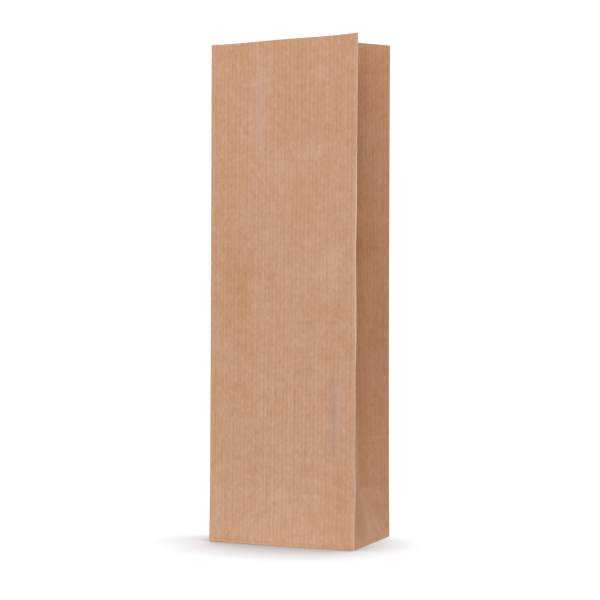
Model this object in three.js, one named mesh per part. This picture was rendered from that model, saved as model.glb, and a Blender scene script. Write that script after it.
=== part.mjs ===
// A block bottom paper bag, empty and standing open. It is one piece of ribbed brown kraft paper:
// a tube with a folded-in gusset down each side, closed below by a folded and glued flat base.
// Millimetres, +Z up, the front panel faces -Y. The origin is the middle of the base, on the ground.
import * as THREE from "three";

// Driving dimensions.
const WIDTH = 80; // front and back panels
const DEPTH = 50; // the base, and each gusset laid flat
const HEIGHT = 254;
const WALL = 0.5;
const BASE_STACK = 0.9; // the folded and glued layers of the base
const BASE_EDGE = 0.6; // rounding of the fold around the base
const CREASE_HEIGHT = 26; // fold line that is level with the tips of the gussets' base triangles

// How far each panel leans in over the base, at the crease and at the mouth.
const FRONT_LEAN = { atCrease: 0.9, atMouth: 4.0 };
const BACK_LEAN = { atCrease: 0.9, atMouth: 4.3 };

// The mouth stands a little askew: the back panel drifts to the right on its way up.
const BACK_DRIFT = 2.3;
const DRIFT_POWER = 1.6;

// How far the middle of each panel stands out past its corners. Below zero it is hollow.
const FRONT_BOW = { atBase: 1.0, atMouth: -1.5 };
const BACK_BOW = { atBase: 1.0, atMouth: -0.8 };

// The lengthwise glued lap on the back panel, measured from that panel's right edge.
const LAP_EDGE = 31; // the free edge of the outer layer, where the surface steps up
const LAP_WIDTH = 14;
const LAP_RISE = 0.25;
const LAP_STEP = 0.2; // width of the step itself

// Fineness of the faceted surface.
const PANEL_STEPS = 12;
const HALF_GUSSET_STEPS = 5;
const ROWS_BELOW_CREASE = 5;
const ROWS_ABOVE_CREASE = 13;

const mix = (from, to, share) => from + (to - from) * share;

// The lean of a panel at a height, with a bend at the crease.
function leanAt(lean, z) {
  if (z < CREASE_HEIGHT) return lean.atCrease * (z / CREASE_HEIGHT);
  const share = (z - CREASE_HEIGHT) / (HEIGHT - CREASE_HEIGHT);
  return mix(lean.atCrease, lean.atMouth, share);
}

// The four upright folds at a height, counter-clockwise from the front left.
function cornersAt(z) {
  const front = leanAt(FRONT_LEAN, z) - DEPTH / 2;
  const back = DEPTH / 2 - leanAt(BACK_LEAN, z);
  const drift = BACK_DRIFT * (z / HEIGHT) ** DRIFT_POWER;
  return {
    frontLeft: new THREE.Vector2(-WIDTH / 2, front),
    frontRight: new THREE.Vector2(WIDTH / 2, front),
    backRight: new THREE.Vector2(WIDTH / 2 + drift, back),
    backLeft: new THREE.Vector2(-WIDTH / 2 + drift, back),
  };
}

// The unit vector that points into the bag from the way from a to b.
function inwardFrom(a, b) {
  const along = b.clone().sub(a).normalize();
  return new THREE.Vector2(-along.y, along.x);
}

// The middle fold of a gusset. Its halves keep their flat width, so the closer its two corners
// stand, the further the fold is tucked in.
function gussetFold(a, b) {
  const halfWidth = DEPTH / 2;
  const halfSpan = a.distanceTo(b) / 2;
  const tuck = Math.sqrt(Math.max(0, halfWidth ** 2 - halfSpan ** 2));
  return a.clone().lerp(b, 0.5).addScaledVector(inwardFrom(a, b), tuck);
}

// A panel from corner a to corner b, without b itself. stations are shares of its width.
function panelPoints(a, b, stations, standOut) {
  const outward = inwardFrom(a, b).negate();
  return stations.map((share) =>
    a.clone().lerp(b, share).addScaledVector(outward, standOut(share)),
  );
}

// A gusset from its corner first to its corner last, without last itself. Above the crease it is
// two flat halves. Below, the flat triangle on the base's side edge runs up between them, and its
// slanting folds cross the halves on their way to the tip.
function gussetPoints(z, first, last) {
  const a = cornersAt(z)[first];
  const b = cornersAt(z)[last];
  const climb = Math.min(1, z / CREASE_HEIGHT);
  let foldA = gussetFold(a, b);
  let foldB = foldA;
  if (climb < 1) {
    const base = cornersAt(0);
    const tipCorners = cornersAt(CREASE_HEIGHT);
    const tip = gussetFold(tipCorners[first], tipCorners[last]);
    foldA = base[first].clone().lerp(tip, climb);
    foldB = base[last].clone().lerp(tip, climb);
  }
  const middle = foldA.clone().lerp(foldB, 0.5);
  const halfway = (corner, fold, share) =>
    share <= climb
      ? corner.clone().lerp(fold, climb > 0 ? share / climb : 0)
      : fold.clone().lerp(middle, (share - climb) / (1 - climb));
  const points = [];
  for (let i = 0; i < HALF_GUSSET_STEPS; i++) {
    points.push(halfway(a, foldA, i / HALF_GUSSET_STEPS));
  }
  for (let i = HALF_GUSSET_STEPS; i > 0; i--) {
    points.push(halfway(b, foldB, i / HALF_GUSSET_STEPS));
  }
  return points;
}

// Where the back panel's surface stands up for the glued lap: a step at the free edge of the outer
// layer, then a run-out over the edge of the layer under it.
function lapRise(share) {
  const x = share * WIDTH;
  if (x < LAP_EDGE || x > LAP_EDGE + LAP_WIDTH) return 0;
  if (x < LAP_EDGE + LAP_STEP) return (LAP_RISE * (x - LAP_EDGE)) / LAP_STEP;
  return LAP_RISE * mix(1, 0, (x - LAP_EDGE - LAP_STEP) / (LAP_WIDTH - LAP_STEP));
}

const evenStations = Array.from({ length: PANEL_STEPS }, (_, i) => i / PANEL_STEPS);
const lapStations = [LAP_EDGE, LAP_EDGE + LAP_STEP, LAP_EDGE + LAP_WIDTH].map((x) => x / WIDTH);
const backStations = [...evenStations, ...lapStations].sort((p, q) => p - q);

// The bag's outer outline at a height, counter-clockwise seen from above.
function outlineAt(z, rise = lapRise) {
  const { frontLeft, frontRight, backRight, backLeft } = cornersAt(z);
  const bow = (range, share) => mix(range.atBase, range.atMouth, z / HEIGHT) * 4 * share * (1 - share);
  return [
    ...panelPoints(frontLeft, frontRight, evenStations, (share) => bow(FRONT_BOW, share)),
    ...gussetPoints(z, "frontRight", "backRight"),
    ...panelPoints(backRight, backLeft, backStations, (share) => bow(BACK_BOW, share) + rise(share)),
    ...gussetPoints(z, "backLeft", "frontLeft"),
  ];
}

// The same outline moved in by a distance, mitred at its corners.
function movedIn(outline, distance) {
  return outline.map((point, i) => {
    const before = outline[(i + outline.length - 1) % outline.length];
    const after = outline[(i + 1) % outline.length];
    const sideA = inwardFrom(before, point);
    const sideB = inwardFrom(point, after);
    const reach = distance / (1 + sideA.dot(sideB));
    return point.clone().addScaledVector(sideA.add(sideB), reach);
  });
}

// Heights of the rows between the base and the mouth, with one on the crease.
function rowHeights() {
  const heights = [];
  for (let i = 1; i < ROWS_BELOW_CREASE; i++) {
    heights.push((CREASE_HEIGHT * i) / ROWS_BELOW_CREASE);
  }
  for (let i = 0; i <= ROWS_ABOVE_CREASE; i++) {
    heights.push(mix(CREASE_HEIGHT, HEIGHT, i / ROWS_ABOVE_CREASE));
  }
  return heights;
}

// True for the columns whose facets are cut upwards to the right, and false for those cut upwards
// to the left, so that the facets' edges follow the slanting folds beside the base triangles.
function risingColumns() {
  const gusset = [
    ...Array(HALF_GUSSET_STEPS).fill(true),
    ...Array(HALF_GUSSET_STEPS).fill(false),
  ];
  return [
    ...Array(evenStations.length).fill(true),
    ...gusset,
    ...Array(backStations.length).fill(true),
    ...gusset,
  ];
}

// The whole bag as one closed skin: outside, rim, inside, and the base from below and from within.
function bagGeometry() {
  const vertices = [];
  const triangles = [];
  const rising = risingColumns();
  const columns = rising.length;

  const addRow = (outline, z) => {
    const start = vertices.length / 3;
    for (const point of outline) vertices.push(point.x, point.y, z);
    return start;
  };
  const joinRows = (from, to, goingUp) => {
    for (let i = 0; i < columns; i++) {
      const next = (i + 1) % columns;
      const [a, b, c, d] = [from + i, from + next, to + i, to + next];
      if (rising[i] === goingUp) triangles.push(a, b, d, a, d, c);
      else triangles.push(a, b, c, b, d, c);
    }
  };
  const closeRow = (row, z, facingUp) => {
    const middle = vertices.length / 3;
    vertices.push(0, 0, z);
    for (let i = 0; i < columns; i++) {
      const edge = [row + i, row + ((i + 1) % columns)];
      if (!facingUp) edge.reverse();
      triangles.push(middle, ...edge);
    }
  };
  const joinAll = (rows, goingUp) => {
    for (let i = 1; i < rows.length; i++) joinRows(rows[i - 1], rows[i], goingUp);
  };

  const heights = rowHeights();
  const ground = addRow(movedIn(outlineAt(0), BASE_EDGE), 0);
  const outside = [BASE_EDGE, ...heights].map((z) => addRow(outlineAt(z), z));
  const smooth = (z) => movedIn(outlineAt(z, () => 0), WALL);
  const inside = [BASE_STACK, ...heights].map((z) => addRow(smooth(z), z));

  closeRow(ground, 0, false);
  joinAll([ground, ...outside], true);
  joinAll([outside.at(-1), ...inside.reverse()], false);
  closeRow(inside.at(-1), BASE_STACK, true);

  const geometry = new THREE.BufferGeometry();
  geometry.setAttribute("position", new THREE.Float32BufferAttribute(vertices, 3));
  geometry.setIndex(triangles);
  geometry.computeVertexNormals();
  return geometry;
}

const kraftPaper = new THREE.MeshStandardMaterial({ color: 0xc79b7c, roughness: 0.85, metalness: 0 });

const paperBag = new THREE.Mesh(bagGeometry(), kraftPaper);
paperBag.name = "paper_bag";

const bag = new THREE.Group();
bag.add(paperBag);

export default bag;
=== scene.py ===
# %% [markdown]
# # A block bottom paper bag
# The bag is one blank of ribbed brown kraft paper. The bag machine glues it into a tube with a
# gusset folded into each side, and folds the tube's lower end flat to make the base. This lesson
# goes the same way: a flat grid is the blank, every point of it keeps its place on the paper, and
# one function says where that place ends up on the folded bag. The ribs of the paper then run round
# every fold by themselves, and the layers under the base lie as they do on a real bag.

# %% Load the frame
import math

import bmesh
import bpy
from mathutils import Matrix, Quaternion, Vector, noise


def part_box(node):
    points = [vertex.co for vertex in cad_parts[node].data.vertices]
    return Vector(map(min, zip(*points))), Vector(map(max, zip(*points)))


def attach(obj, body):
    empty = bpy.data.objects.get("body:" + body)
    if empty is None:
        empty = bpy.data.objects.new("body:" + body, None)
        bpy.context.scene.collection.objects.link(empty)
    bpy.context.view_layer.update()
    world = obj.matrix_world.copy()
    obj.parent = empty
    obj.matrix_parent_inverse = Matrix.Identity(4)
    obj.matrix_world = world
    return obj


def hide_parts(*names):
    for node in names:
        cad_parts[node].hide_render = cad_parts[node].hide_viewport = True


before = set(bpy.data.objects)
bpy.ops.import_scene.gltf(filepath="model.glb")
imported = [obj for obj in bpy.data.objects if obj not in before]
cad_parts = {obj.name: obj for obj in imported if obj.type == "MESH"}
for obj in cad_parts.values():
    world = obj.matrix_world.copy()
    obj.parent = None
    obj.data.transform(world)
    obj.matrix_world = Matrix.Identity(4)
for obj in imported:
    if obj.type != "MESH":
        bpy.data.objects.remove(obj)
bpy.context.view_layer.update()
low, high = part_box("paper_bag")
print("CAD box in mm:", [round(v * 1000, 1) for v in (*low, *high)])

# %% [markdown]
# ## Sizes
# The folding is worked out in millimetres, which is how a bag is specified: width, base depth,
# height. An opened bag isn't a perfect box. Its panels lean in towards the mouth, because the
# gussets still want to fold, the mouth stands a little askew, and the folded corners draw the foot
# in by a little.

# %% Driving sizes
MM = 0.001
WIDTH = 80
FOOT_WIDTH = 79.2
DEPTH = 50
HEIGHT = high.z / MM
HALF = DEPTH / 2  # half a gusset, and half the base
CREASE = 26  # height of the fold line level with the tips of the base triangles
IMPRINT = 52.5  # where the base's edge lay against the walls while the bag was flat
FLAP = 32  # paper folded under the base
LAP_EDGE = 31  # the tube's glued lap, from the back panel's right edge
LAP_WIDTH = 14
PAPER = 0.12
LAYER = 0.15  # from one layer of the base to the next

AROUND = 2 * (WIDTH + DEPTH)
BLANK_WIDTH = AROUND + LAP_WIDTH
BLANK_HEIGHT = HEIGHT + FLAP
print(f"blank {BLANK_WIDTH:.0f} x {BLANK_HEIGHT:.0f} mm, {BLANK_WIDTH * BLANK_HEIGHT / 1e6:.3f} m2")

# %% How the opened bag stands, in mm
FRONT_LEAN = (0.9, 4.2)  # at the crease, at the mouth
FRONT_SKEW = 0.9  # how much further the front right corner of the mouth leans in
FRONT_REACH = 0.4  # and how far it stands out to the right
BACK_LEAN = (0.9, 5.1)
FRONT_BOW = (1.7, -2.5)  # how far a panel's middle stands out at the base, at the mouth
BACK_BOW = (1.0, -0.8)
FRONT_LOBES = -0.9  # the hollow front rim falls into two lobes
RIM_POWER = 3  # what only shows at the rim grows with this power of the height
BACK_DRIFT = 2.5  # how far the back panel moves to the right on its way up
DRIFT_POWER = 1.6
SWAY = 0.15  # the bag's middle height stands a little to the right
NEAR_FOLD_KNEES = (  # height, how far the front right fold stands out there, half height
    (28, 0.4, 9),
    (84, -0.2, 8),
    (104, 0.15, 8),
    (146, -0.3, 16),
    (200, -0.15, 25),
)
RIM_DROP = 0.35  # the mouth's cut is a little low at the front left corner
RIM_DROP_REACH = 28  # to each side of that corner
print(f"front leans in {FRONT_LEAN[1]} mm at the mouth, back {BACK_LEAN[1]} mm")

# %% [markdown]
# ## Where the walls stand
# Seen from above, the bag at any height is a closed line: front panel, right gusset, back panel,
# left gusset. A place on that line is its distance round the bag from the front left corner. The
# panels are nearly straight. A gusset's halves keep their width of 25 mm, so where its two corners
# come closer, its middle fold has to move further in. That one rule gives the V at the mouth.

# %% Three small functions of shape
def mix(a, b, share):
    """The value that is share of the way from a to b."""
    return a + (b - a) * share


def smooth(low_end, high_end, x):
    """0 below low_end, 1 above high_end, and an S curve between them."""
    share = min(1, max(0, (x - low_end) / (high_end - low_end)))
    return share * share * (3 - 2 * share)


def swell(h, at, out, half_width):
    """A rounded swelling along the height at. Below zero it is a groove."""
    return out * math.exp(-(((h - at) / half_width) ** 2))


print("halfway up an S curve:", smooth(0, 1, 0.5))


# %% The four upright folds
def leaning(lean, h):
    """How far a panel has leant in at a height."""
    at_crease, at_mouth = lean
    if h < CREASE:
        return at_crease * h / CREASE
    return mix(at_crease, at_mouth, (h - CREASE) / (HEIGHT - CREASE))


def corners(h):
    """The four upright folds at a height: front left, front right, back right, back left."""
    front = leaning(FRONT_LEAN, h) - HALF
    back = HALF - leaning(BACK_LEAN, h)
    half = mix(FOOT_WIDTH, WIDTH, h / HEIGHT) / 2
    sway = SWAY * math.sin(math.pi * h / HEIGHT)
    drift = BACK_DRIFT * (h / HEIGHT) ** DRIFT_POWER + sway
    knees = sum(swell(h, *knee) for knee in NEAR_FOLD_KNEES)
    near = half + sway + FRONT_REACH * (h / HEIGHT) ** RIM_POWER + knees
    return [
        Vector((-half + sway, front)),
        Vector((near, front + FRONT_SKEW * h / HEIGHT)),
        Vector((half + drift, back)),
        Vector((-half + drift, back)),
    ]


print("the mouth's corners:", [tuple(round(v, 1) for v in corner) for corner in corners(HEIGHT)])


# %% Panels and gussets between them
def inward(a, b):
    """The direction into the bag from the way from a to b."""
    along = (b - a).normalized()
    return Vector((-along.y, along.x))


def tucked(a, b):
    """The middle fold of the gusset between corners a and b."""
    half_span = (b - a).length / 2
    return a.lerp(b, 0.5) + inward(a, b) * math.sqrt(max(0, HALF**2 - half_span**2))


def panel_point(a, b, share, bow, lobes, h):
    """A point of the front or back panel, with the panel's slight bow and its rim's lobes."""
    stand_out = mix(*bow, h / HEIGHT) * math.sin(math.pi * share)
    stand_out += lobes * (h / HEIGHT) ** RIM_POWER * math.sin(3 * math.pi * share)
    return a.lerp(b, share) - inward(a, b) * stand_out


def gusset_point(h, first, last, along):
    """A point of a gusset, along mm from its corner first. Its base triangle is flat."""
    a, b = corners(h)[first], corners(h)[last]
    near, reach = (a, along) if along <= HALF else (b, DEPTH - along)
    climb = min(1, h / CREASE)
    if climb == 1:
        return near.lerp(tucked(a, b), reach / HALF)
    tip = tucked(corners(CREASE)[first], corners(CREASE)[last])
    fold_a = corners(0)[first].lerp(tip, climb)
    fold_b = corners(0)[last].lerp(tip, climb)
    fold = fold_a if along <= HALF else fold_b
    if reach <= climb * HALF:
        return near.lerp(fold, reach / (climb * HALF)) if climb > 0 else near.copy()
    return fold.lerp(fold_a.lerp(fold_b, 0.5), (reach - climb * HALF) / (HALF * (1 - climb)))


crease_fold = tucked(*corners(CREASE)[1:3])
print("tip of the right base triangle:", [round(v, 1) for v in crease_fold])

# %% The outline at a height
RIGHT_SIDE = WIDTH  # where the front panel ends and the right gusset starts
BACK = WIDTH + DEPTH
LEFT_SIDE = 2 * WIDTH + DEPTH


def outline(h, place):
    """The point of the outline at a height, place mm round the bag."""
    place %= AROUND
    front_left, front_right, back_right, back_left = corners(h)
    if place < RIGHT_SIDE:
        return panel_point(front_left, front_right, place / WIDTH, FRONT_BOW, FRONT_LOBES, h)
    if place < BACK:
        return gusset_point(h, 1, 2, place - RIGHT_SIDE)
    if place < LEFT_SIDE:
        return panel_point(back_right, back_left, (place - BACK) / WIDTH, BACK_BOW, 0, h)
    return gusset_point(h, 3, 0, place - LEFT_SIDE)


mouth_fold = outline(HEIGHT, RIGHT_SIDE + HALF)
print(f"the right gusset is tucked in {corners(HEIGHT)[1].x - mouth_fold.x:.1f} mm at the mouth")

# %% [markdown]
# ## Soft waves and pressed lines
# Real paper is never flat: it keeps shallow waves, and lines where it was pressed. The waves could
# be a noise in the material's bump, but then the rim and the folds would stay ruler straight, so
# they are moved points instead. They die out towards the upright folds, which hold the paper stiff.
# The horizontal fold line and the imprint of the base's edge are shallow grooves in the same
# function.

# %% Relief of the walls
UPRIGHT_FOLDS = (0, RIGHT_SIDE, RIGHT_SIDE + HALF, BACK, LEFT_SIDE, LEFT_SIDE + HALF, AROUND)
WAVE = 0.3  # height of the long waves, mm
LONG_WAVE = (38, 60, 2.7)  # mm round the bag, mm up, and which slice of the noise
SHORT_WAVE = (13, 26, 9.1)
SHORT_SHARE = 0.35  # height of the short waves, in long ones
FOLD_GRIP = 9  # how far from a fold its stiffness reaches, mm
GUSSET_BULGES = ((156, 0.4, 9), (196, 0.3, 9))  # height, how far out, half height
PRESSED_LINES = ((CREASE, -0.05, 0.9), (IMPRINT, -0.05, 0.8))
FOOT_BEAD = ((0.7, 0.05, 0.7), (1.7, -0.06, 0.4))  # on the panels, where the paper turns under
CREASE_FADE = (22, 42)  # mm from the front's left edge, where the crease starts to show


def crease_share(place):
    """How clearly the crease was pressed: on the front it fades out towards the left."""
    place %= AROUND
    return smooth(*CREASE_FADE, place) if place < RIGHT_SIDE else 1


def wave(along, h, size):
    """Soft noise around 0, in waves of that size."""
    length, rise, noise_slice = size
    return noise.noise(Vector((along / length, h / rise, noise_slice)))


def relief(h, place):
    """How far the paper stands out of its smooth shape, in mm. The lap's layers get the same."""
    place %= AROUND
    grip = smooth(0, FOLD_GRIP, min(abs(place - fold) for fold in UPRIGHT_FOLDS))
    along = place + AROUND  # this only picks the part of the noise
    waves = WAVE * (wave(along, h, LONG_WAVE) + SHORT_SHARE * wave(along, h, SHORT_WAVE)) * grip
    pressed = crease_share(place) * sum(swell(h, *line) for line in PRESSED_LINES)
    on_gusset = place % BACK > WIDTH  # the bag's second half goes round as its first
    if on_gusset:
        return waves + pressed + grip * sum(swell(h, *bulge) for bulge in GUSSET_BULGES)
    return waves + pressed + sum(swell(h, *line) for line in FOOT_BEAD)


print(f"halfway up, the front's middle stands out {relief(HEIGHT / 2, WIDTH / 2):.2f} mm")

# %% Points of the walls
BESIDE = 0.05  # mm to each side, to find which way a wall faces


def wall_point(h, place, lift):
    """A point of the standing walls in mm. lift moves it outwards, as where layers overlap."""
    here = outline(h, place)
    outward = -inward(outline(h, place - BESIDE), outline(h, place + BESIDE))
    here = here + outward * (relief(h, place) + lift)
    from_left = abs((place + HALF) % AROUND - HALF)
    top = HEIGHT - RIM_DROP * (1 - smooth(0, RIM_DROP_REACH, from_left))
    return Vector((here.x, here.y, mix(2 * LAYER, top, h / HEIGHT)))


print("a point of the mouth:", [round(v, 1) for v in wall_point(HEIGHT, WIDTH / 2, 0)])

# %% [markdown]
# ## Under the base
# Below the base line the tube goes on for 32 mm. As when a parcel is wrapped, the gussets' ends are
# folded in first and lie inside. They take the corners of the front and back flaps with them, which
# doubles those corners under along a diagonal. The back flap, then the front flap, close over them.
# So each place on the paper has a spot on the base and a layer to lie in, counted from the ground.

# %% The folded flaps
GROUND_LAYER, BACK_LAYER, CORNER_LAYER, EAR_LAYER = range(4)
BASE_TURN = 2.5  # mm of paper from the fold to where a flap lies in its layer


def flap_point(depth, place):
    """A point of the folded flaps in mm. depth is its distance from the fold round the base."""
    place %= AROUND
    in_front = place < RIGHT_SIDE
    in_back = BACK <= place < LEFT_SIDE
    edge = outline(0, place)
    if in_front or in_back:
        side = 1 if edge.x > 0 else -1
        to_corner = FOOT_WIDTH / 2 - abs(edge.x)
        into_bag = 1 if in_front else -1
        if to_corner >= depth:
            spot = Vector((edge.x, edge.y + into_bag * depth))
            layer = GROUND_LAYER if in_front else BACK_LAYER
        else:
            corner_y = -HALF * into_bag
            spot = Vector((side * (FOOT_WIDTH / 2 - depth), corner_y + into_bag * to_corner))
            layer = CORNER_LAYER
    else:
        side = 1 if edge.x > 0 else -1
        spot = Vector((edge.x - side * depth, edge.y))
        layer = EAR_LAYER
    height = PAPER / 2 + layer * LAYER
    return Vector((spot.x, spot.y, mix(2 * LAYER, height, smooth(0, BASE_TURN, depth))))


print("tip of the right ear:", [round(v, 1) for v in flap_point(FLAP, RIGHT_SIDE + HALF)])

# %% [markdown]
# ## Folding the blank
# The blank starts at the free edge of the glued lap, goes once round the bag and ends under its own
# start. On the back panel the start stands out by one layer, and in the flap the end lies one
# higher.

# %% From the flat blank to the bag
BLANK_START = BACK + LAP_EDGE
LAP_SLOPE = 4  # mm over which a layer comes down from the one that it lies on
LAP_TURN = 3  # mm of paper in which the lap goes over from the wall to the flap


def folded(across, h):
    """Where the blank's point ends up, in mm: across from its first edge, h above the base line."""
    place = BLANK_START + across
    over_lap = 1 - smooth(LAP_WIDTH, LAP_WIDTH + LAP_SLOPE, across)
    under_lap = smooth(AROUND - LAP_SLOPE, AROUND, across)
    if h >= 0:
        return wall_point(h, place, over_lap * LAYER)
    point = flap_point(-h, place)
    turned = smooth(0, LAP_TURN, -h)
    point.y += over_lap * LAYER * (1 - turned)
    point.z += under_lap * LAYER * turned
    return point


for name, across, h in (("lap's top corner", 0, HEIGHT), ("lap's bottom corner", 0, 0)):
    print(name, [round(v, 1) for v in folded(across, h)])

# %% [markdown]
# ## Scoring the blank
# A fold is only crisp where the mesh has an edge on it. The blank is a grid, and bisect_plane cuts
# it along every fold line, as a scoring wheel would, with close lines on each side for the rounding
# of the fold. The diagonal folds are cut only where they are, in the gussets' feet and the flaps.

# %% The blank
COLUMN = 2.0  # mm
ROW = 3.0

bm = bmesh.new()
bmesh.ops.create_grid(
    bm,
    x_segments=round(BLANK_WIDTH / COLUMN),
    y_segments=round(BLANK_HEIGHT / ROW),
    size=0.5,
)
bmesh.ops.scale(bm, vec=(BLANK_WIDTH, BLANK_HEIGHT, 1), verts=bm.verts)
bmesh.ops.translate(bm, vec=(BLANK_WIDTH / 2, BLANK_HEIGHT / 2 - FLAP, 0), verts=bm.verts)
print(f"blank: {len(bm.faces)} faces")

# %% Score its folds
BESIDE_UPRIGHT = (-0.9, -0.5, -0.25, 0, 0.25, 0.5, 0.9)
BESIDE_LEVEL = (-2.6, -1.9, -1.3, -0.9, -0.6, -0.3, 0, 0.3, 0.6, 0.9, 1.2, 1.5, 1.8, 2.1, 2.6)
MERGE = 0.02  # mm, below which a cut takes the point that is there


def score(point, direction, box=None):
    """Cuts the blank along the line through point. box limits it to x and y ranges."""
    normal = Vector((-direction[1], direction[0], 0))
    faces = bm.faces[:]
    if box:
        (x0, x1), (y0, y1) = box
        centres = [(f, f.calc_center_median()) for f in faces]
        faces = [f for f, c in centres if x0 < c.x < x1 and y0 < c.y < y1]
    edges = {e for f in faces for e in f.edges}
    verts = {v for f in faces for v in f.verts}
    bmesh.ops.bisect_plane(
        bm,
        geom=[*faces, *edges, *verts],
        dist=MERGE,
        plane_co=(*point, 0),
        plane_no=normal,
    )


upright = sorted({(fold - BLANK_START) % AROUND for fold in UPRIGHT_FOLDS})
for across in upright:
    for beside in BESIDE_UPRIGHT:
        score((across + beside, 0), (0, 1))
for h in (0, CREASE, IMPRINT):
    for beside in BESIDE_LEVEL:
        score((0, h + beside), (1, 0))
print(f"with its upright and level folds: {len(bm.faces)} faces")

# %% Score the diagonal folds
RIGHT_GUSSET = (RIGHT_SIDE - BLANK_START) % AROUND  # where each starts on the blank
LEFT_GUSSET = (LEFT_SIDE - BLANK_START) % AROUND
for start in (RIGHT_GUSSET, LEFT_GUSSET):
    score((start, 0), (HALF, CREASE), ((start, start + HALF), (0, CREASE)))
    score((start + DEPTH, 0), (-HALF, CREASE), ((start + HALF, start + DEPTH), (0, CREASE)))
    score((start, 0), (-1, -1), ((start - FLAP, start), (-FLAP, 0)))
    score((start + DEPTH, 0), (1, -1), ((start + DEPTH, start + DEPTH + FLAP), (-FLAP, 0)))
print(f"scored blank: {len(bm.faces)} faces")

# %% [markdown]
# ## Remembering the paper's own map
# The ribs, the fibres and the worn fold lines belong to the paper, not to the space around it. So
# the flat places are kept as a UV map before folding, and each point remembers how close it is to a
# fold. On a fold the fibres are broken and look paler. Along the front right fold that pale line is
# also painted highlight, where the rounded fold catches the light.

# %% How worn each fold is, and the painted highlight on the front right fold
FOLD_RUB = 1.3  # how far the pale line of a fold reaches, mm
UPRIGHT_WEAR = 0.15
DIAGONAL_WEAR = 0.15
CREASE_WEAR = 0.05
IMPRINT_WEAR = 0.15
# how pale the front right fold is, from wear and a painted highlight
NEAR_WEAR_AND_HIGHLIGHT = (0.5, 1.5)  # of the front right fold, near the foot and around its middle
NEAR_WEAR_RISE = (45, 130)  # heights between which it goes from one to the other
MOUTH_RELIEF = 0.7  # how much less wear and painted highlight it has near the mouth
MOUTH_FADE = (180, 205)


def diagonal_distance(across, h):
    """Distance to the nearest diagonal fold, up to the reach of the pale line."""
    nearest = FOLD_RUB
    for start in (RIGHT_GUSSET, LEFT_GUSSET):
        along = across - start
        if -FLAP <= along <= DEPTH + FLAP and h < 0:
            outside = -along if along < HALF else along - DEPTH
            nearest = min(nearest, abs(outside + h) / math.sqrt(2))
        elif 0 <= along <= DEPTH and h <= CREASE:
            reach = along if along <= HALF else DEPTH - along
            nearest = min(nearest, abs(reach - h) / math.sqrt(2))
    return nearest


def front_right_wear_and_highlight(h):
    """Wear and painted highlight of this fold: most around its middle, least near the foot."""
    return mix(*NEAR_WEAR_AND_HIGHLIGHT, smooth(*NEAR_WEAR_RISE, h)) - MOUTH_RELIEF * smooth(*MOUTH_FADE, h)


def fold_wear_and_highlight(across, h):
    """How pale the paper is from folding and painted highlight, fading to 0 beside each fold."""
    to_upright = min(abs((across - fold + HALF) % AROUND - HALF) for fold in upright)
    in_gusset = any(0 < across - start < DEPTH for start in (RIGHT_GUSSET, LEFT_GUSSET))
    lines = (
        (to_upright, UPRIGHT_WEAR),
        (abs(across - RIGHT_GUSSET), front_right_wear_and_highlight(h)),
        (diagonal_distance(across, h), DIAGONAL_WEAR),
        (abs(h - CREASE), CREASE_WEAR * crease_share(BLANK_START + across)),
        (abs(h - IMPRINT), IMPRINT_WEAR if in_gusset else 0),
    )
    return max(strength * (1 - smooth(0, FOLD_RUB, distance)) for distance, strength in lines)


# the front right fold's wear and painted highlight, at its foot and halfway up
print("wear of the near fold, foot and middle:", front_right_wear_and_highlight(0), front_right_wear_and_highlight(HEIGHT / 2))

# %% Keep the flat places, and the wear with its painted highlight
MAP_SPAN = 320  # mm of paper across the whole UV square
uv_layer = bm.loops.layers.uv.new("flat_paper")
wear_and_highlight_layer = bm.verts.layers.float.new("fold_wear_and_highlight")
flat = {v: (v.co.x, v.co.y) for v in bm.verts}
for vert, (across, h) in flat.items():
    vert[wear_and_highlight_layer] = fold_wear_and_highlight(across, h)
for face in bm.faces:
    for loop in face.loops:
        across, h = flat[loop.vert]
        loop[uv_layer].uv = (across / MAP_SPAN, (h + FLAP) / MAP_SPAN)
points_by_a_fold = sum(1 for vert in bm.verts if vert[wear_and_highlight_layer] > 0)
print(f"{points_by_a_fold} of {len(bm.verts)} points lie by a fold")

# %% [markdown]
# ## Folding, rounding and thickness
# Now every point moves to its folded place. The folds come out knife sharp, so smooth_vert rounds
# them, first the upright ones without touching their height, then the fold round the base. Last
# comes the thickness of the paper, as a modifier, so that the sheet itself stays easy to read. The
# cut edges are marked sharp, or the rim would shade as if it were rounded.

# %% Fold the blank
for vert, (across, h) in flat.items():
    vert.co = folded(across, h) * MM
print(f"the bag now stands {max(vert.co.z for vert in bm.verts) / MM:.1f} mm tall")

# %% Round its folds
UPRIGHT_ROUNDING = 0.3  # mm beside a fold that are rounded
BASE_ROUNDING = 1.0


def near_fold(across, h, reach):
    """True within reach of an upright fold, above the base fold's own rounding."""
    to_upright = min(abs((across - fold + HALF) % AROUND - HALF) for fold in upright)
    return h > reach and to_upright < reach


by_upright = [v for v, (across, h) in flat.items() if near_fold(across, h, UPRIGHT_ROUNDING)]
by_base = [v for v, (across, h) in flat.items() if abs(h) < BASE_ROUNDING]
for _ in range(2):
    bmesh.ops.smooth_vert(bm, verts=by_upright, factor=0.5, use_axis_x=True, use_axis_y=True)
for _ in range(3):
    bmesh.ops.smooth_vert(
        bm, verts=by_base, factor=0.5, use_axis_x=True, use_axis_y=True, use_axis_z=True
    )
print(f"rounded {len(by_upright)} points on upright folds and {len(by_base)} round the base")

# %% Shading, and the thickness of the paper
SHARP_FROM = math.radians(50)

bm.normal_update()
for edge in bm.edges:
    edge.smooth = not edge.is_boundary and edge.calc_face_angle() < SHARP_FROM
for face in bm.faces:
    face.smooth = True
mesh = bpy.data.meshes.new("bag_paper")
bm.to_mesh(mesh)
bm.free()
bag = bpy.data.objects.new("bag_paper", mesh)
bpy.context.scene.collection.objects.link(bag)

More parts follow.
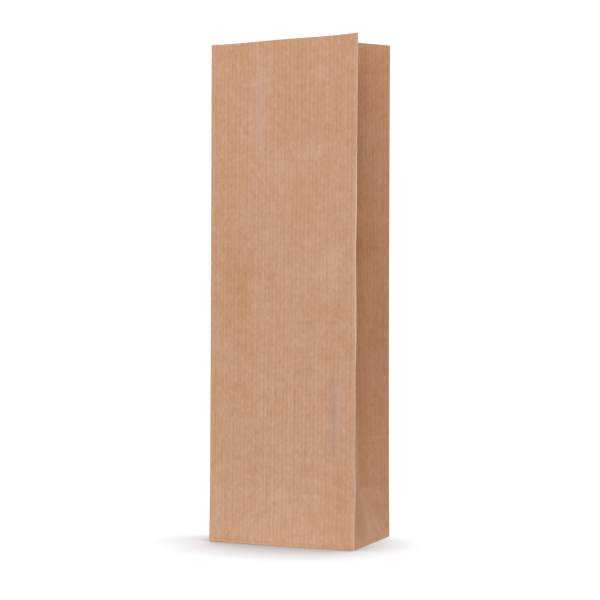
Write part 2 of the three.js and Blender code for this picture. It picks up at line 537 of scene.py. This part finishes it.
thickness = bag.modifiers.new("paper_thickness", "SOLIDIFY")
thickness.thickness = PAPER * MM
thickness.offset = 0
print(f"folded bag: {len(mesh.polygons)} faces before its thickness")

# %% [markdown]
# ## Ribbed kraft paper
# Ribbed kraft is unbleached brown paper, 70 to 80 g per square metre. Fine parallel ribs about 2 mm
# apart run up the bag, the brown varies between an ochre and a pinkish tone in soft clouds, and
# under a close look there are fibres. It is a rough dielectric: no metal, IOR near 1.5, almost no
# shine. All of it reads the paper's own map, in millimetres, so the ribs turn with the folds.

# %% Colours and a node helper
FACTOR, FIRST, SECOND, BLEND = 0, 6, 7, 2  # a Mix node's inputs for colours, and its output


def linear(hex_colour):
    """An sRGB hex colour as linear RGBA."""
    channels = [int(hex_colour[i : i + 2], 16) / 255 for i in (1, 3, 5)]
    lin = [c / 12.92 if c <= 0.04045 else ((c + 0.055) / 1.055) ** 2.4 for c in channels]
    return (*lin, 1)


def add_node(tree, kind, inputs=None, output=0, **settings):
    """Adds a node and returns one output. inputs gives its sockets values or other outputs."""
    node = tree.nodes.new("ShaderNode" + kind)
    for key, value in settings.items():
        setattr(node, key, value)
    for socket, value in (inputs or {}).items():
        if isinstance(value, bpy.types.NodeSocket):
            tree.links.new(value, node.inputs[socket])
        else:
            node.inputs[socket].default_value = value
    return node.outputs[output]


print("a mid grey in linear light:", [round(v, 3) for v in linear("#808080")])

# %% The paper's own places, in millimetres
kraft = bpy.data.materials.new("ribbed_kraft_paper")
kraft.use_nodes = True
tree = kraft.node_tree
shader = tree.nodes["Principled BSDF"]

paper_map = add_node(tree, "UVMap", uv_map="flat_paper")
to_mm = {"Vector": paper_map, "Scale": (MAP_SPAN, MAP_SPAN, 1), "Location": (0, -FLAP, 0)}
paper_mm = add_node(tree, "Mapping", to_mm)
across_mm = add_node(tree, "SeparateXYZ", {"Vector": paper_mm}, "X")
height_mm = add_node(tree, "SeparateXYZ", {"Vector": paper_mm}, "Y")
print(f"one UV square is {MAP_SPAN} mm of paper")

# %% This paper's patterns
WAVE_UNIT = 0.314  # a wave texture of scale 1 repeats every 0.314 units
RIB_STRETCH = 0.06  # keeps the ribs slender: they change this slowly on their way up


def paper_noise(width, height, detail=2, roughness=0.5):
    """A soft random pattern whose patches are that many mm wide and tall on the paper."""
    stretched = add_node(tree, "Mapping", {"Vector": paper_mm, "Scale": (1 / width, 1 / height, 1)})
    values = {"Vector": stretched, "Scale": 1, "Detail": detail, "Roughness": roughness}
    return add_node(tree, "TexNoise", values, "Fac")


def rib_wave(pitch, distortion):
    """Fine upright lines, pitch mm apart, that hardly wander."""
    slender = add_node(tree, "Mapping", {"Vector": paper_mm, "Scale": (1, RIB_STRETCH, 1)})
    values = {
        "Vector": slender,
        "Scale": WAVE_UNIT / pitch,
        "Distortion": distortion,
        "Detail": 1,
        "Detail Scale": 0.5,
    }
    return add_node(tree, "TexWave", values, "Fac", bands_direction="X")


def soft_patch(place, height, half_width, half_height, slant=0):
    """1 in the middle of an oval on the paper, fading to 0 at its edge, place mm round the bag."""
    to_oval = {
        "Vector": paper_mm,
        "Location": ((place - BLANK_START) % AROUND, height, 0),
        "Rotation": (0, 0, math.radians(slant)),
        "Scale": (half_width, half_height, 1),
    }
    oval = add_node(tree, "Mapping", to_oval, vector_type="TEXTURE")
    away = add_node(tree, "VectorMath", {0: oval}, "Value", operation="LENGTH")
    fade = {"Value": away, "From Min": 0.2, "From Max": 1, "To Min": 1, "To Max": 0}
    return add_node(tree, "MapRange", fade, interpolation_type="SMOOTHSTEP")


print(f"the paper's places take {len(tree.nodes)} nodes")

# %% [markdown]
# Two things change the paper's colour. Soft clouds wander between an ochre and a paler, pinker
# brown, because unbleached pulp is never even and the surface gets rubbed. On top, the ribs,
# streaks and single fibres only make it darker or lighter. So each group has a scale of its own:
# every pattern pushes it by its gain from the middle, and the bag's clear patches are pushed where
# they are. Some patches are painted shade and light: darker at the front's foot by its right fold,
# and darker and lighter bands on the right gusset.

# %% Two ways to push a tone
def pushed(patterns):
    """The middle tone 0.5, pushed by each pattern as far as its gain says."""
    total = 0.5 - 0.5 * sum(gain for _, gain in patterns)
    for pattern, gain in patterns:
        total = add_node(tree, "Math", {0: pattern, 1: gain, 2: total}, operation="MULTIPLY_ADD")
    return total


def pushed_at(total, patches):
    """The value total, pushed within each oval patch of the paper."""
    for *oval, push in patches:
        step = {0: soft_patch(*oval), 1: push, 2: total}
        total = add_node(tree, "Math", step, operation="MULTIPLY_ADD")
    return total


print("without any pattern the tone is", pushed(()))

# %% Clouds of ochre and pink, and one patch of painted shade
OCHRE_KRAFT = "#C19E77"
PINK_KRAFT = "#D1B5A4"
clouds_and_painted_shade = pushed(
    (
        (paper_noise(26, 60), 0.5),
        (paper_noise(11, 18), 0.45),
        (paper_noise(5, 7), 0.7),
        (paper_noise(2.6, 3.5), 0.5),
    )
)
PATCHES_AND_PAINTED_SHADE = (  # mm round the bag, height, half width, half height, and how much pinker or more ochre
    (28, 223, 8, 36, 0.2),
    (40, 191, 13, 16, 0.2),
    (57, 199, 7, 10, 0.25),
    (8, 186, 12, 24, -0.1),
    (38, 158, 12, 26, 0.15),
    (66, 138, 11, 20, 0.25),
    (14, 124, 12, 44, -0.2),
    (28, 82, 8, 9, 0.15),
    (3, 18, 8, 24, 0.2),
    # painted shade: darker at the front's foot by its right fold
    (72, 36, 14, 32, -0.12),
    (78, 6, 6, 14, -0.15),
    (93.5, 12, 7, 16, -0.25),
    (24.5, 34.5, 8, 4, -0.2),
)
clouds_and_painted_shade = pushed_at(clouds_and_painted_shade, PATCHES_AND_PAINTED_SHADE)
between = {FACTOR: clouds_and_painted_shade, FIRST: linear(OCHRE_KRAFT), SECOND: linear(PINK_KRAFT)}
colour = add_node(tree, "Mix", between, BLEND, data_type="RGBA")
print(f"clouds with {len(PATCHES_AND_PAINTED_SHADE)} patches in their own places")

# %% Ribs, streaks, mottling and fibres
RIB_PITCH = 2.12  # mm
SECOND_PITCH = 3.4
rib_centre = add_node(tree, "Math", {0: rib_wave(RIB_PITCH, 0.8), 1: 0.5}, operation="SUBTRACT")
uneven = {
    "Value": paper_noise(16, 45),
    "From Min": 0.3,
    "From Max": 0.7,
    "To Min": 0.5,
    "To Max": 1.2,
}
rib_strength = add_node(tree, "MapRange", uneven)
ribs = add_node(tree, "Math", {0: rib_centre, 1: rib_strength, 2: 0.5}, operation="MULTIPLY_ADD")
rib_tone_and_painted_shade = pushed(
    (
        (ribs, 0.27),
        (rib_wave(SECOND_PITCH, 2.5), 0.09),
        (paper_noise(0.9, 60), 0.3),  # streaks of the drawing direction
        (paper_noise(4.5, 60), 0.2),
        (paper_noise(2.6, 4.5, roughness=0.6), 0.65),  # mottling
        (paper_noise(1.1, 2.2), 1.0),
        (paper_noise(0.6, 0.8), 0.9),  # fibres
    )
)
print(f"ribs {RIB_PITCH} mm apart: {WIDTH / RIB_PITCH:.0f} across the front panel")

# %% Painted light and shade on the right gusset
RIB_AND_PAINTED_SHADE = "#E4D6CD"
# painted light and shade: darker bands where wrinkles and the front fold shade it, lighter between
GUSSET_PAINTED_SHADING = (  # mm round the bag, height, half width, half height, and how much lighter
    (90, 220, 9, 24, 0.2),
    (115, 214, 16, 16, 0.1),
    (108, 187, 9, 6, 0.1),
    (107, 164, 12, 7, 0.3),
    (115, 150, 16, 6, -0.18),
    (109, 143, 7, 5, 0.15),
    (124, 104, 10, 44, -0.22),
    (104, 78, 18, 30, -0.12),
    (92, 12, 12, 20, -0.14),
    (109, 150, 5, 80, -0.16),
    (105, 24.5, 20, 6, 0.28),
    (119.5, 22.5, 6, 5, 0.3),
    (124, 46, 6, 18, 0.22),
)
rib_tone_and_painted_shade = pushed_at(rib_tone_and_painted_shade, GUSSET_PAINTED_SHADING)
dimmed = {FACTOR: rib_tone_and_painted_shade, FIRST: linear(RIB_AND_PAINTED_SHADE), SECOND: linear("#FFFFFF")}
dimming = add_node(tree, "Mix", dimmed, BLEND, data_type="RGBA")
both = {FACTOR: 1.0, FIRST: colour, SECOND: dimming}
colour = add_node(tree, "Mix", both, BLEND, data_type="RGBA", blend_type="MULTIPLY")
print(f"{len(GUSSET_PAINTED_SHADING)} places are lighter or darker")

# %% [markdown]
# Marks of use come on top: pale lines where folds broke the fibres, patchy as they are on a real
# bag; along the front right fold that pale line is also painted highlight. A fine darker line
# where the front panel turns under the foot is painted shade in its pressed line.

# %% Worn folds, and the painted highlight on the front right fold
# pale fibres of a fold, also the colour of the painted highlight on the front right fold
PALE_FOLD_AND_HIGHLIGHT = "#D1BDAC"

worn_and_lit = add_node(tree, "Attribute", output="Fac", attribute_name="fold_wear_and_highlight")
patchy = {"Value": paper_noise(2.5, 2.5), "From Min": 0.3, "From Max": 0.6, "To Min": 0.6}
patchy_wear_and_highlight = {0: worn_and_lit, 1: add_node(tree, "MapRange", patchy)}
pale = add_node(tree, "Math", patchy_wear_and_highlight, operation="MULTIPLY")
paled = {FACTOR: pale, FIRST: colour, SECOND: linear(PALE_FOLD_AND_HIGHLIGHT)}
colour = add_node(tree, "Mix", paled, BLEND, data_type="RGBA")
print("worn folds go towards", PALE_FOLD_AND_HIGHLIGHT)

# %% The line at the foot: painted shade in its pressed line
# painted shade in the pressed line where the front panel turns under the foot
FOOT_LINE = "#A87A50"
FOOT_LINE_HEIGHT = 1.5  # mm
FOOT_LINE_SHARE = 0.35
FRONT_MIDDLE = (WIDTH / 2 - BLANK_START) % AROUND

off_line = add_node(tree, "Math", {0: height_mm, 1: FOOT_LINE_HEIGHT}, operation="SUBTRACT")
off_line = add_node(tree, "Math", {0: off_line}, operation="ABSOLUTE")
line = {"Value": off_line, "From Min": 0.2, "From Max": 0.6, "To Min": FOOT_LINE_SHARE, "To Max": 0}
on_front = {0: across_mm, 1: FRONT_MIDDLE, 2: WIDTH / 2}
front_only = add_node(tree, "Math", on_front, operation="COMPARE")
line_on_front = {0: add_node(tree, "MapRange", line), 1: front_only}
dark = add_node(tree, "Math", line_on_front, operation="MULTIPLY")
darkened = {FACTOR: dark, FIRST: colour, SECOND: linear(FOOT_LINE)}
colour = add_node(tree, "Mix", darkened, BLEND, data_type="RGBA")
print(f"a darker line {FOOT_LINE_HEIGHT} mm above the foot of the front")

# %% [markdown]
# The glued lap ends in a cut edge that is only one paper thick. What shows of it on a real bag is
# less the step than the fine line of shade along it, so the first 0.8 mm of the blank are darker.

# %% The lap's edge
LAP_SHADE = "#7D5636"
LAP_SHADE_SHARE = 0.65
along_cut = {
    "Value": across_mm,
    "From Min": 0.2,
    "From Max": 0.8,
    "To Min": LAP_SHADE_SHARE,
    "To Max": 0,
}
shading = add_node(tree, "MapRange", along_cut)
shaded = {FACTOR: shading, FIRST: colour, SECOND: linear(LAP_SHADE)}
colour = add_node(tree, "Mix", shaded, BLEND, data_type="RGBA")
print("the lap's edge is shaded with", LAP_SHADE)

# %% [markdown]
# Where the paper was rubbed, it is paler or greyer, with fine streaks along the ribs. Each rub is
# an oval in its own place, brushed by a slender noise. Three ovals on the right gusset are painted
# light instead: painted sheen on its front half, painted warm light beside the front right fold
# and painted light from the floor at its foot. The last two are narrow and pale: they are the
# small creases that fan out above the foot of the right gusset.

# %% Rubs, and painted light on the right gusset
# pale rubs; on the right gusset this colour is also painted sheen and painted light from the floor
PALE_RUB_AND_PAINTED_LIGHT = "#B8A597"
GREY_RUB = "#A2918C"
PAINTED_WARM_LIGHT = "#DDB494"
RUBS_AND_PAINTED_LIGHT = (  # mm round the bag, height, half width, half height, slant in degrees, strength, colour
    (26.5, 217, 4, 30, 0, 0.4, PALE_RUB_AND_PAINTED_LIGHT),
    (68.5, 67, 6, 32, 0, 0.35, GREY_RUB),
    (70.9, 64, 1.1, 26, 0, 0.3, PALE_FOLD_AND_HIGHLIGHT),
    (64.2, 62, 1, 8, 0, 0.25, PALE_FOLD_AND_HIGHLIGHT),
    # painted sheen on the gusset's front half
    (92, 44, 13, 34, 0, 0.18, PALE_RUB_AND_PAINTED_LIGHT),
    # painted warm light beside the front right fold
    (86, 34, 7, 26, 0, 0.25, PAINTED_WARM_LIGHT),
    # painted light from the floor at the gusset's foot
    (111, 9, 15, 14, 0, 0.28, PALE_RUB_AND_PAINTED_LIGHT),
    (106.5, 10.4, 1.3, 9, -9, 0.6, PALE_FOLD_AND_HIGHLIGHT),
    (116.2, 8.5, 10, 1.5, -51, 0.6, PALE_FOLD_AND_HIGHLIGHT),
)
streaky = {"Value": paper_noise(0.8, 20), "From Min": 0.3, "From Max": 0.6, "To Min": 0.4}
brushed = add_node(tree, "MapRange", streaky)
for *oval, strength, rub_and_light_colour in RUBS_AND_PAINTED_LIGHT:
    rub_and_light = add_node(tree, "Math", {0: soft_patch(*oval), 1: brushed}, operation="MULTIPLY")
    rub_and_light = add_node(tree, "Math", {0: rub_and_light, 1: strength}, operation="MULTIPLY")
    rubbed_and_lit = {FACTOR: rub_and_light, FIRST: colour, SECOND: linear(rub_and_light_colour)}
    colour = add_node(tree, "Mix", rubbed_and_lit, BLEND, data_type="RGBA")
tree.links.new(colour, shader.inputs["Base Color"])
print(f"{len(RUBS_AND_PAINTED_LIGHT)} rubbed places")

# %% Surface of the paper
RIB_RELIEF = 0.6  # of the bump's depth
FIBRE_RELIEF = 0.8
BUMP_DEPTH = 0.04  # mm

shader.inputs["Roughness"].default_value = 0.8
shader.inputs["IOR"].default_value = 1.5
shader.inputs["Specular IOR Level"].default_value = 0.3
shader.inputs["Sheen Weight"].default_value = 0.2
shader.inputs["Sheen Roughness"].default_value = 0.4

fibres = {0: paper_noise(0.5, 1.5, 3), 1: FIBRE_RELIEF}
fibre_relief = add_node(tree, "Math", fibres, operation="MULTIPLY")
ribs_and_fibres = {0: ribs, 1: RIB_RELIEF, 2: fibre_relief}
relief_height = add_node(tree, "Math", ribs_and_fibres, operation="MULTIPLY_ADD")
bump = {"Height": relief_height, "Strength": 0.5, "Distance": BUMP_DEPTH * MM}
tree.links.new(add_node(tree, "Bump", bump), shader.inputs["Normal"])
bag.data.materials.append(kraft)
print(f"ribbed kraft paper: {len(tree.nodes)} nodes")

# %% [markdown]
# ## The bag takes the frame's place
# The CAD node stays for the physics. The folded paper stands for it and rides on the one body.

# %% Hand the bag to the frame
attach(bag, "root")
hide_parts("paper_bag")
print("the folded paper stands for paper_bag")

# %% [markdown]
# ## Floor
# The product stands on a plain white floor. A lit floor would need much more light than the paper
# to come out white, so this one glows by itself, and an ambient occlusion node darkens it softly
# near the bag. Behind the bag, to the left and to the right, the lamps shine past it, so the shadow
# fades out there. The camera sees this glow, and the bag sees another one: a bright patch round its
# foot, where the lamps' light comes back from the floor.

# %% Floor
bm = bmesh.new()
bmesh.ops.create_grid(bm, x_segments=1, y_segments=1, size=6)
floor_mesh = bpy.data.meshes.new("floor")
bm.to_mesh(floor_mesh)
bm.free()
floor = bpy.data.objects.new("floor", floor_mesh)
bpy.context.scene.collection.objects.link(floor)
print(f"floor {floor.dimensions.x:.0f} m wide")

# %% The shadow at the bag's foot
FLOOR_WHITE = 1.06
DARKEST = 0.48
SHADOW_REACH = 0.055  # m
RIGHT_REACH = 0.042  # where the lamps at the right light the floor
RIGHT_OF = (0.04, 0.06)  # m to the right, between which the reach changes
FADING = (  # a direction, how far along it the shadow starts and stops fading, and by how much
    ((-0.4, 0.92, 0), 0, 0.022, 0.85),
    ((0.5, 0.87, 0), -0.005, 0.045, 0.65),
)
SHADOW_TINT = "#FFE8E0"  # paper next to it makes the shadow a little warm

white = bpy.data.materials.new("white_floor")
white.use_nodes = True
ground = white.node_tree
ground.nodes.remove(ground.nodes["Principled BSDF"])
spot = add_node(ground, "TexCoord", output="Object")
to_right = add_node(ground, "SeparateXYZ", {"Vector": spot}, "X")
beside = {"Value": to_right, "From Min": RIGHT_OF[0], "From Max": RIGHT_OF[1]}
reach = add_node(ground, "MapRange", {**beside, "To Min": SHADOW_REACH, "To Max": RIGHT_REACH})
openness = add_node(ground, "AmbientOcclusion", {"Distance": reach}, "AO", samples=16)
open_floor = {"Value": openness, "From Min": 0.5, "To Min": DARKEST, "To Max": FLOOR_WHITE}
seen_glow = add_node(ground, "MapRange", open_floor)
for direction, start, stop, share in FADING:
    dot = {0: spot, 1: direction}
    along = add_node(ground, "VectorMath", dot, "Value", operation="DOT_PRODUCT")
    faded = {"Value": along, "From Min": start, "From Max": stop, "To Min": 0, "To Max": share}
    clearing = add_node(ground, "MapRange", faded)
    seen_glow = add_node(ground, "Mix", {"Factor": clearing, "A": seen_glow, "B": FLOOR_WHITE})
warmth = {FACTOR: seen_glow, FIRST: linear(SHADOW_TINT), SECOND: linear("#FFFFFF")}
seen_colour = add_node(ground, "Mix", warmth, BLEND, data_type="RGBA")
seen_floor = add_node(ground, "Emission", {"Color": seen_colour, "Strength": seen_glow})
print(f"the shadow reaches {SHADOW_REACH / MM:.0f} mm from the bag")

# %% What the floor throws back onto the bag
BOUNCE = 0.48
PATCH_RADIUS = 0.16  # m

away = add_node(ground, "VectorMath", {0: spot}, "Value", operation="LENGTH")
lit = {"Value": away, "From Max": PATCH_RADIUS, "To Min": BOUNCE, "To Max": 0}
bounce = add_node(ground, "MapRange", lit)
lighting_floor = add_node(ground, "Emission", {"Strength": bounce})

to_camera = add_node(ground, "LightPath", output="Is Camera Ray")
either = add_node(ground, "MixShader", {0: to_camera, 1: lighting_floor, 2: seen_floor})
ground.links.new(either, ground.nodes["Material Output"].inputs["Surface"])
floor_mesh.materials.append(white)
print(f"white floor: {len(ground.nodes)} nodes")

# %% [markdown]
# ## Light
# Soft studio light comes from all round, and two broad lamps stand low in front. Standing low and
# frontal, they light the front panel and graze the side, so the front's edge shades the part of the
# gusset behind it. A lamp above evens out the front. Thin kraft also glows warmly where light has
# passed through it or bounced between its walls, and a warm lamp at the right stands for that. One
# more lamp behind keeps the back and the left side readable.

# %% Light from all round
SURROUND = 0.53
SEEN_WHITE = 1.05  # what the camera sees behind the floor
world = bpy.data.worlds.new("studio")
bpy.context.scene.world = world
world.use_nodes = True
sky = world.node_tree
seen = add_node(sky, "LightPath", output="Is Camera Ray")
strength = add_node(sky, "MapRange", {"Value": seen, "To Min": SURROUND, "To Max": SEEN_WHITE})
background = sky.nodes["Background"]
background.inputs["Color"].default_value = (1, 1, 1, 1)
sky.links.new(strength, background.inputs["Strength"])
print(f"the bag gets {SURROUND} from all round, the camera sees {SEEN_WHITE}")

# %% Lamps
LAMPS_AWAY = 1.6  # m
KEY_COLOUR = (1, 0.81, 0.70)
GLOW_COLOUR = (1, 0.51, 0.17)


def soft_light(name, azimuth, elevation, power, colour, size=0.9):
    """A square area light that looks at the middle of the bag."""
    lamp = bpy.data.lights.new(name, "AREA")
    lamp.shape = "SQUARE"
    lamp.size = size
    lamp.energy = power
    lamp.color = colour
    light = bpy.data.objects.new(name, lamp)
    turn = math.radians(azimuth)
    rise = math.radians(elevation)
    level = math.cos(rise)
    to_lamp = Vector((math.sin(turn) * level, -math.cos(turn) * level, math.sin(rise)))
    light.location = Vector((0, 0, HEIGHT * MM / 2)) + to_lamp * LAMPS_AWAY
    light.rotation_euler = (-to_lamp).to_track_quat("-Z", "Y").to_euler()
    bpy.context.scene.collection.objects.link(light)
    print(f"{name}: {power} W at {[round(v, 2) for v in light.location]} m")


soft_light("key_left", azimuth=-15, elevation=5, power=9.7, colour=KEY_COLOUR)
soft_light("key_right", azimuth=15, elevation=5, power=8.6, colour=KEY_COLOUR)
soft_light("top", azimuth=0, elevation=60, power=13.5, colour=KEY_COLOUR)
soft_light("glow", azimuth=95, elevation=5, power=9.0, colour=GLOW_COLOUR, size=0.6)
soft_light("back", azimuth=218, elevation=20, power=12, colour=KEY_COLOUR)

# %% [markdown]
# ## Camera
# The camera stands 0.72 m from the near corner, a little below half the bag's height, with a long
# lens. It looks almost level and from below the mouth, so the upright folds stay nearly parallel
# and the inside can't be seen. Its place is worked out from that corner, which is easy to find in
# the picture.

# %% Where the camera stands
AZIMUTH = 23.6  # degrees from straight in front, towards the right
NEAR_EDGE_AWAY = 719.0  # mm from the lens to the nearest corner of the foot
NEAR_EDGE_RIGHT = 26.5  # mm that this corner stands to the right of the picture's middle
LENS_HEIGHT = 116.4
TILT_UP = 0.488  # degrees
ROLL = -0.11
PIXELS = 600  # width of the picture
FOCAL_PIXELS = 1474.5

turn = math.radians(AZIMUTH)
ahead = Vector((-math.sin(turn), math.cos(turn), 0))
to_right = Vector((math.cos(turn), math.sin(turn), 0))
near_fold_foot = Vector((WIDTH / 2, -HALF, 0))
eye = near_fold_foot - ahead * NEAR_EDGE_AWAY - to_right * NEAR_EDGE_RIGHT
eye.z = LENS_HEIGHT
tilt = math.radians(TILT_UP)
looking = ahead * math.cos(tilt) + Vector((0, 0, math.sin(tilt)))
print("eye in mm:", [round(v, 1) for v in eye])

# %% Camera
camera_data = bpy.data.cameras.new("camera")
camera_data.sensor_width = 36
camera_data.lens = FOCAL_PIXELS / PIXELS * camera_data.sensor_width
camera = bpy.data.objects.new("camera", camera_data)
camera.location = eye * MM
upright_look = looking.to_track_quat("-Z", "Y")
camera.rotation_euler = (upright_look @ Quaternion((0, 0, 1), math.radians(ROLL))).to_euler()
bpy.context.scene.collection.objects.link(camera)
bpy.context.scene.camera = camera
bpy.context.scene.view_settings.view_transform = "Standard"
print(f"lens {camera_data.lens:.1f} mm")
